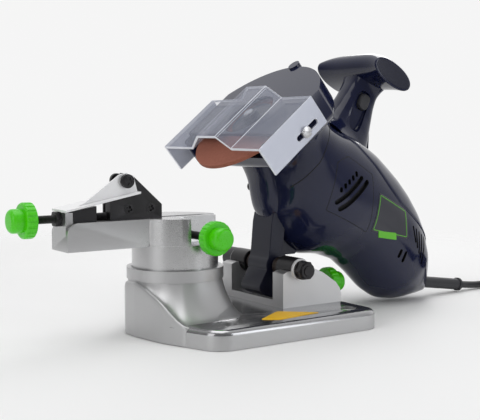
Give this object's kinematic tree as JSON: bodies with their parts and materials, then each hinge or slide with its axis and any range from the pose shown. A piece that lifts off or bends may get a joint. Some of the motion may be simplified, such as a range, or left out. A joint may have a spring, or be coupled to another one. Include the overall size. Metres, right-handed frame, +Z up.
{
  "type": "electric chainsaw sharpener",
  "caption": "Bench sharpener for saw chains: a tilting motor head with a grinding wheel and guard over a swivelling chain vise on a cast base.",
  "frame": {"origin": "on the bench, where the vise's swivel axis meets the base's underside", "axes": "+X along the arm and the head towards the hinge end and the cord, +Y across, away from the clamp knob, +Z up"},
  "size_m": [0.5582, 0.2172, 0.2122],
  "materials": {
    "cast_silver": "satin silver paint on a casting",
    "black_steel": "black oxide steel, satin",
    "bright_steel": "zinc plated steel",
    "black_plastic": "soft matt black",
    "navy_plastic": "gloss navy black",
    "green_plastic": "bright green, smooth",
    "clear_plastic": "clear polycarbonate sheet",
    "abrasive": "reddish brown bonded abrasive",
    "copper": "copper segments and carbon"
  },
  "bodies": {
    "base": {"base_casting": "cast_silver", "hinge_bolt": "black_steel", "hinge_washer_steel": "bright_steel", "hinge_washer_black": "black_steel", "hinge_nut": "black_steel", "hinge_cap": "black_plastic", "hinge_springs": "black_steel", "pivot_bolt": "bright_steel", "cord_coil": "black_plastic", "cord_tail": "black_plastic", "plug": "black_plastic"},
    "vise": {"turret": "cast_silver", "vise_body": "cast_silver", "rail_near": "black_steel", "rail_far": "black_steel", "rail_screws": "black_steel", "stop_bolt": "black_steel", "feed_nut": "black_steel"},
    "carriage": {"carriage": "black_steel"},
    "feed": {"feed_screw": "black_steel", "feed_knob": "green_plastic"},
    "stop": {"stop_bracket": "bright_steel"},
    "clamp": {"clamp_screw": "black_steel", "clamp_knob": "green_plastic"},
    "depth": {"depth_screw": "black_steel", "depth_knob": "green_plastic"},
    "head": {"wheel_drum": "navy_plastic", "hinge_leg": "navy_plastic", "housing_screws": "black_steel", "motor_housing_near": "navy_plastic", "motor_housing_far": "navy_plastic", "handle_near": "navy_plastic", "handle_far": "navy_plastic", "grip_end_caps": "navy_plastic", "guard_screws": "bright_steel", "stator": "bright_steel", "carbon_brushes": "copper", "bearings": "bright_steel", "cord_sleeve": "black_plastic", "power_cord": "black_plastic"},
    "guard_slide": {"guard": "clear_plastic"},
    "wheel": {"grinding_wheel": "abrasive", "flange_inner": "bright_steel", "flange_outer": "bright_steel", "spindle": "bright_steel", "wheel_nut": "bright_steel", "driven_gear": "bright_steel"},
    "armature_body": {"motor_shaft": "bright_steel", "armature": "bright_steel", "commutator": "copper", "cooling_fan": "black_plastic"},
    "switch": {"power_switch": "black_plastic"}
  },
  "joints": [
    {"name": "head_tilt", "type": "hinge", "parent": "base", "child": "head", "pos_m": [0.0865, 0, 0.0429], "axis": [0, -1, 0], "range_deg": [0, 26], "deforming": ["power_cord"]},
    {"name": "vise_swivel", "type": "hinge", "parent": "base", "child": "vise", "pos_m": [0, 0, 0.05], "axis": [0, 0, 1], "range_deg": [-35, 35]},
    {"name": "feed_turn", "type": "hinge", "parent": "carriage", "child": "feed", "pos_m": [-0.0882, 0, 0.0882], "axis": [1, 0, 0], "range_deg": [-20, 3300]},
    {"name": "carriage_slide", "type": "slide", "parent": "vise", "child": "carriage", "axis": [1, 0, 0], "range_m": [0, 0.008]},
    {"name": "stop_pivot", "type": "hinge", "parent": "vise", "child": "stop", "pos_m": [-0.046, 0, 0.1135], "axis": [0, 1, 0], "range_deg": [0, 60]},
    {"name": "clamp_turn", "type": "hinge", "parent": "vise", "child": "clamp", "pos_m": [0.007, -0.03, 0.0723], "axis": [0, -1, 0], "range_deg": [0, 360]},
    {"name": "depth_turn", "type": "hinge", "parent": "base", "child": "depth", "pos_m": [0.12, 0, 0.0225], "axis": [1, 0, 0], "range_deg": [0, 720]},
    {"name": "guard_adjust", "type": "slide", "parent": "head", "child": "guard_slide", "axis": [0.7716, 0, 0.6361], "range_m": [-0.004, 0.007]},
    {"name": "wheel_spin", "type": "hinge", "parent": "head", "child": "wheel", "pos_m": [0.073, 0, 0.1557], "axis": [0.6361, 0, -0.7716], "continuous": true},
    {"name": "armature_spin", "type": "hinge", "parent": "head", "child": "armature_body", "pos_m": [0.09383, 0, 0.17287], "axis": [0.6361, 0, -0.7716], "continuous": true},
    {"name": "switch_press", "type": "slide", "parent": "head", "child": "switch", "axis": [0, 1, 0], "range_m": [0, 0.0025], "stiffness_N_per_m": 400}
  ],
  "couplings": [
    {"joint": "feed_turn", "follows": "carriage_slide", "rad_per_m": 6283.2},
    {"joint": "armature_spin", "follows": "wheel_spin", "ratio": -2.7714}
  ]
}
